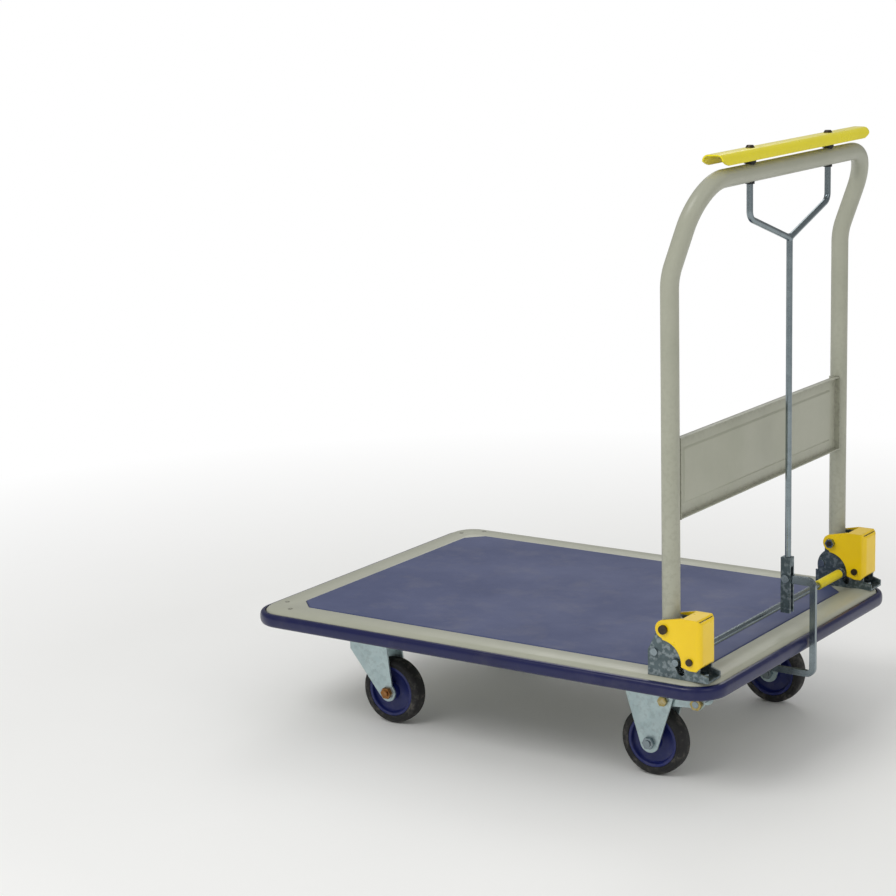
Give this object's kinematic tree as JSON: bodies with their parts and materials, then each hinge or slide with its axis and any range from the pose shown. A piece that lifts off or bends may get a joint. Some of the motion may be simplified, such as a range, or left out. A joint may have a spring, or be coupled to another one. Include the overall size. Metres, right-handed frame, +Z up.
{
  "type": "folding platform cart",
  "caption": "Flat-bed platform cart with a fold-down push handle, a squeeze bar that lifts the rear wheel brakes, a treadable fold latch, front swivel casters and a soft edge bumper",
  "frame": {"origin": "on the floor under the middle of the deck", "axes": "+Z up, +X toward the handle end, the cart is pushed toward -X, -Y is the left side seen from the handle end facing the deck"},
  "size_m": [0.812, 0.6, 0.8947],
  "materials": {
    "ivory_paint": "warm ivory powder coat",
    "mat_grey": "blue-grey flat mat",
    "bumper_navy": "navy PVC edge",
    "rivet_grey": "painted rivet",
    "rail_steel": "grey primed steel",
    "zinc_dark": "zinc plated pressing",
    "cover_yellow": "yellow moulding",
    "bolt_brown": "bronze passivated bolt",
    "zinc_bright": "bright zinc plated rod",
    "spring_steel": "spring wire",
    "washer_nylon": "white nylon",
    "plug_black": "black polyethylene",
    "bar_yellow": "yellow powder coat",
    "yellow_zinc": "yellow zinc bolt",
    "shoe_rubber": "brake lining",
    "hub_blue": "deep blue nylon",
    "tyre_black": "black rubber",
    "sleeve_yellow": "yellow foot sleeve",
    "fork_zinc": "zinc plated fork"
  },
  "bodies": {
    "base": {"deck_pan": "ivory_paint", "deck_mat": "mat_grey", "deck_bumper": "bumper_navy", "deck_rivets": "rivet_grey", "deck_rails": "rail_steel", "deck_crossmembers": "rail_steel", "bracket_left": "zinc_dark", "bracket_right": "zinc_dark", "cover_left": "cover_yellow", "cover_right": "cover_yellow", "cover_screws": "bolt_brown", "bracket_bolts": "zinc_bright", "stop_pins": "zinc_bright", "pivot_bolts": "bolt_brown", "pivot_nuts": "zinc_bright", "latch_springs": "spring_steel", "brake_springs": "spring_steel", "lever_pivots": "yellow_zinc", "rear_forks": "fork_zinc", "rear_axles": "bolt_brown", "rear_axle_nuts": "yellow_zinc", "swivel_plates": "fork_zinc", "caster_bolts": "yellow_zinc", "caster_nuts": "yellow_zinc"},
    "latch": {"latch_rod": "zinc_bright", "latch_clips": "spring_steel", "latch_sleeve": "sleeve_yellow"},
    "handle": {"handle_frame": "ivory_paint", "pivot_washers": "washer_nylon", "post_plugs": "plug_black", "handle_panel": "ivory_paint", "panel_rivets": "rivet_grey", "grip_bushes": "plug_black"},
    "release": {"release_bar": "bar_yellow", "bar_screws": "yellow_zinc", "release_rod": "zinc_bright", "rod_clevis": "zinc_dark", "clevis_bolt": "zinc_bright", "clevis_nut": "zinc_bright"},
    "link": {"brake_link": "zinc_bright"},
    "brakes": {"brake_levers": "fork_zinc", "brake_beam": "zinc_bright", "beam_nuts": "yellow_zinc", "brake_shoes": "shoe_rubber"},
    "caster_left": {"swivel_fork_left": "fork_zinc", "front_axle_left": "bolt_brown"},
    "caster_right": {"swivel_fork_right": "fork_zinc", "front_axle_right": "bolt_brown"},
    "wheel_front_left": {"front_hub_left": "hub_blue", "front_tyre_left": "tyre_black"},
    "wheel_front_right": {"front_hub_right": "hub_blue", "front_tyre_right": "tyre_black"},
    "wheel_rear_left": {"rear_hub_left": "hub_blue", "rear_tyre_left": "tyre_black"},
    "wheel_rear_right": {"rear_hub_right": "hub_blue", "rear_tyre_right": "tyre_black"}
  },
  "joints": [
    {"name": "handle_fold", "type": "hinge", "parent": "base", "child": "handle", "pos_m": [0.321, 0, 0.25], "axis": [0, -1, 0], "range_deg": [0, 90]},
    {"name": "bar_squeeze", "type": "slide", "parent": "handle", "child": "release", "axis": [0, 0, -1], "range_m": [0, 0.011], "stiffness_N_per_m": 3500, "springref_m": -0.01},
    {"name": "link_drop", "type": "slide", "parent": "base", "child": "link", "axis": [0, 0, -1], "range_m": [0, 0.0112]},
    {"name": "brake_lift", "type": "hinge", "parent": "base", "child": "brakes", "pos_m": [0.275, 0, 0.117], "axis": [0, 1, 0], "range_deg": [0, 12.3]},
    {"name": "latch_tread", "type": "slide", "parent": "base", "child": "latch", "axis": [0.452, 0, -0.892], "range_m": [0, 0.0148], "stiffness_N_per_m": 900, "springref_m": -0.012, "deforming": ["latch_springs"]},
    {"name": "swivel_left", "type": "hinge", "parent": "base", "child": "caster_left", "pos_m": [-0.24, -0.187, 0.12], "axis": [0, 0, 1], "continuous": true},
    {"name": "swivel_right", "type": "hinge", "parent": "base", "child": "caster_right", "pos_m": [-0.24, 0.187, 0.12], "axis": [0, 0, 1], "continuous": true},
    {"name": "spin_front_left", "type": "hinge", "parent": "caster_left", "child": "wheel_front_left", "pos_m": [-0.206, -0.187, 0.051], "axis": [0, 1, 0], "continuous": true},
    {"name": "spin_front_right", "type": "hinge", "parent": "caster_right", "child": "wheel_front_right", "pos_m": [-0.206, 0.187, 0.051], "axis": [0, 1, 0], "continuous": true},
    {"name": "spin_rear_left", "type": "hinge", "parent": "base", "child": "wheel_rear_left", "pos_m": [0.252, -0.187, 0.051], "axis": [0, 1, 0], "continuous": true},
    {"name": "spin_rear_right", "type": "hinge", "parent": "base", "child": "wheel_rear_right", "pos_m": [0.252, 0.187, 0.051], "axis": [0, 1, 0], "continuous": true}
  ],
  "couplings": [
    {"joint": "link_drop", "follows": "bar_squeeze", "ratio": 1},
    {"joint": "brake_lift", "follows": "bar_squeeze", "rad_per_m": 19.25}
  ]
}
